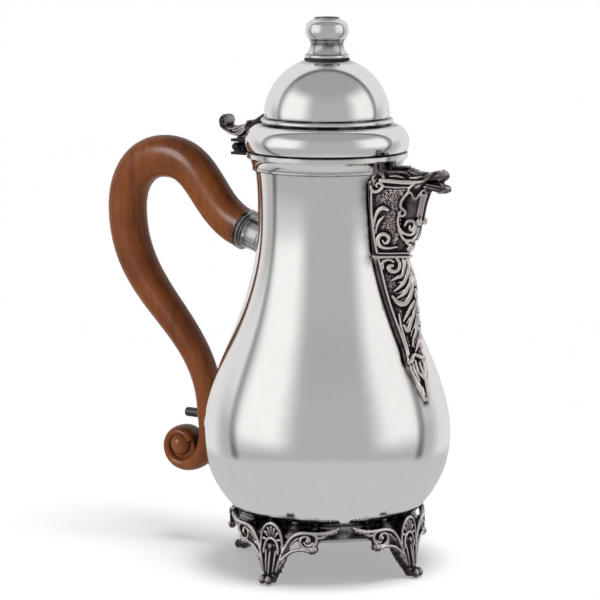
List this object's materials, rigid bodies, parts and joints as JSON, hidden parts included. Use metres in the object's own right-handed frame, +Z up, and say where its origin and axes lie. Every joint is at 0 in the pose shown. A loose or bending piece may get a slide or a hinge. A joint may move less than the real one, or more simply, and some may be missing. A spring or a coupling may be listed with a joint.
{
  "type": "coffee pot",
  "caption": "Pear-shaped polished silver coffee pot on cast scroll feet, with a beaked leaf spout, a hinged domed lid with a turned finial, and a scrolled wood side handle.",
  "frame": {"origin": "on the table, on the axis of the round body", "axes": "+Z up along the body axis, +X towards the spout, -X towards the handle, +Y to the left of the spout"},
  "size_m": [0.1799, 0.1086, 0.2408],
  "materials": {
    "silver_polished": "polished silver with fine wear",
    "silver_cast": "cast silver, dark in the hollows and bright on the ridges",
    "handle_wood": "polished warm brown hardwood",
    "peg_black": "black stained hardwood",
    "gasket_black": "black leather"
  },
  "bodies": {
    "pot": {"body_shell": "silver_polished", "spout_strainer": "silver_polished", "rim_band": "silver_polished", "spout_left_half": "silver_cast", "spout_right_half": "silver_cast", "spout_drop": "silver_cast", "foot_ring": "silver_polished", "foot_spout_side": "silver_cast", "foot_left": "silver_cast", "foot_handle_side": "silver_cast", "foot_right": "silver_cast", "handle_grip": "handle_wood", "upper_socket": "silver_polished", "upper_socket_pin": "silver_polished", "lower_socket": "silver_polished", "lower_peg": "peg_black", "hinge_body_leaf": "silver_polished", "hinge_pin": "silver_polished"},
    "lid": {"lid_shell": "silver_polished", "lid_bezel": "silver_polished", "finial": "silver_polished", "finial_gasket": "gasket_black", "finial_washer": "silver_polished", "finial_nut": "silver_polished", "thumbpiece": "silver_cast", "hinge_lid_leaf": "silver_polished"}
  },
  "joints": [
    {"name": "lid_hinge", "type": "hinge", "parent": "pot", "child": "lid", "pos_m": [-0.0425, 0, 0.18318], "axis": [0, -1, 0], "range_deg": [0, 75]}
  ]
}
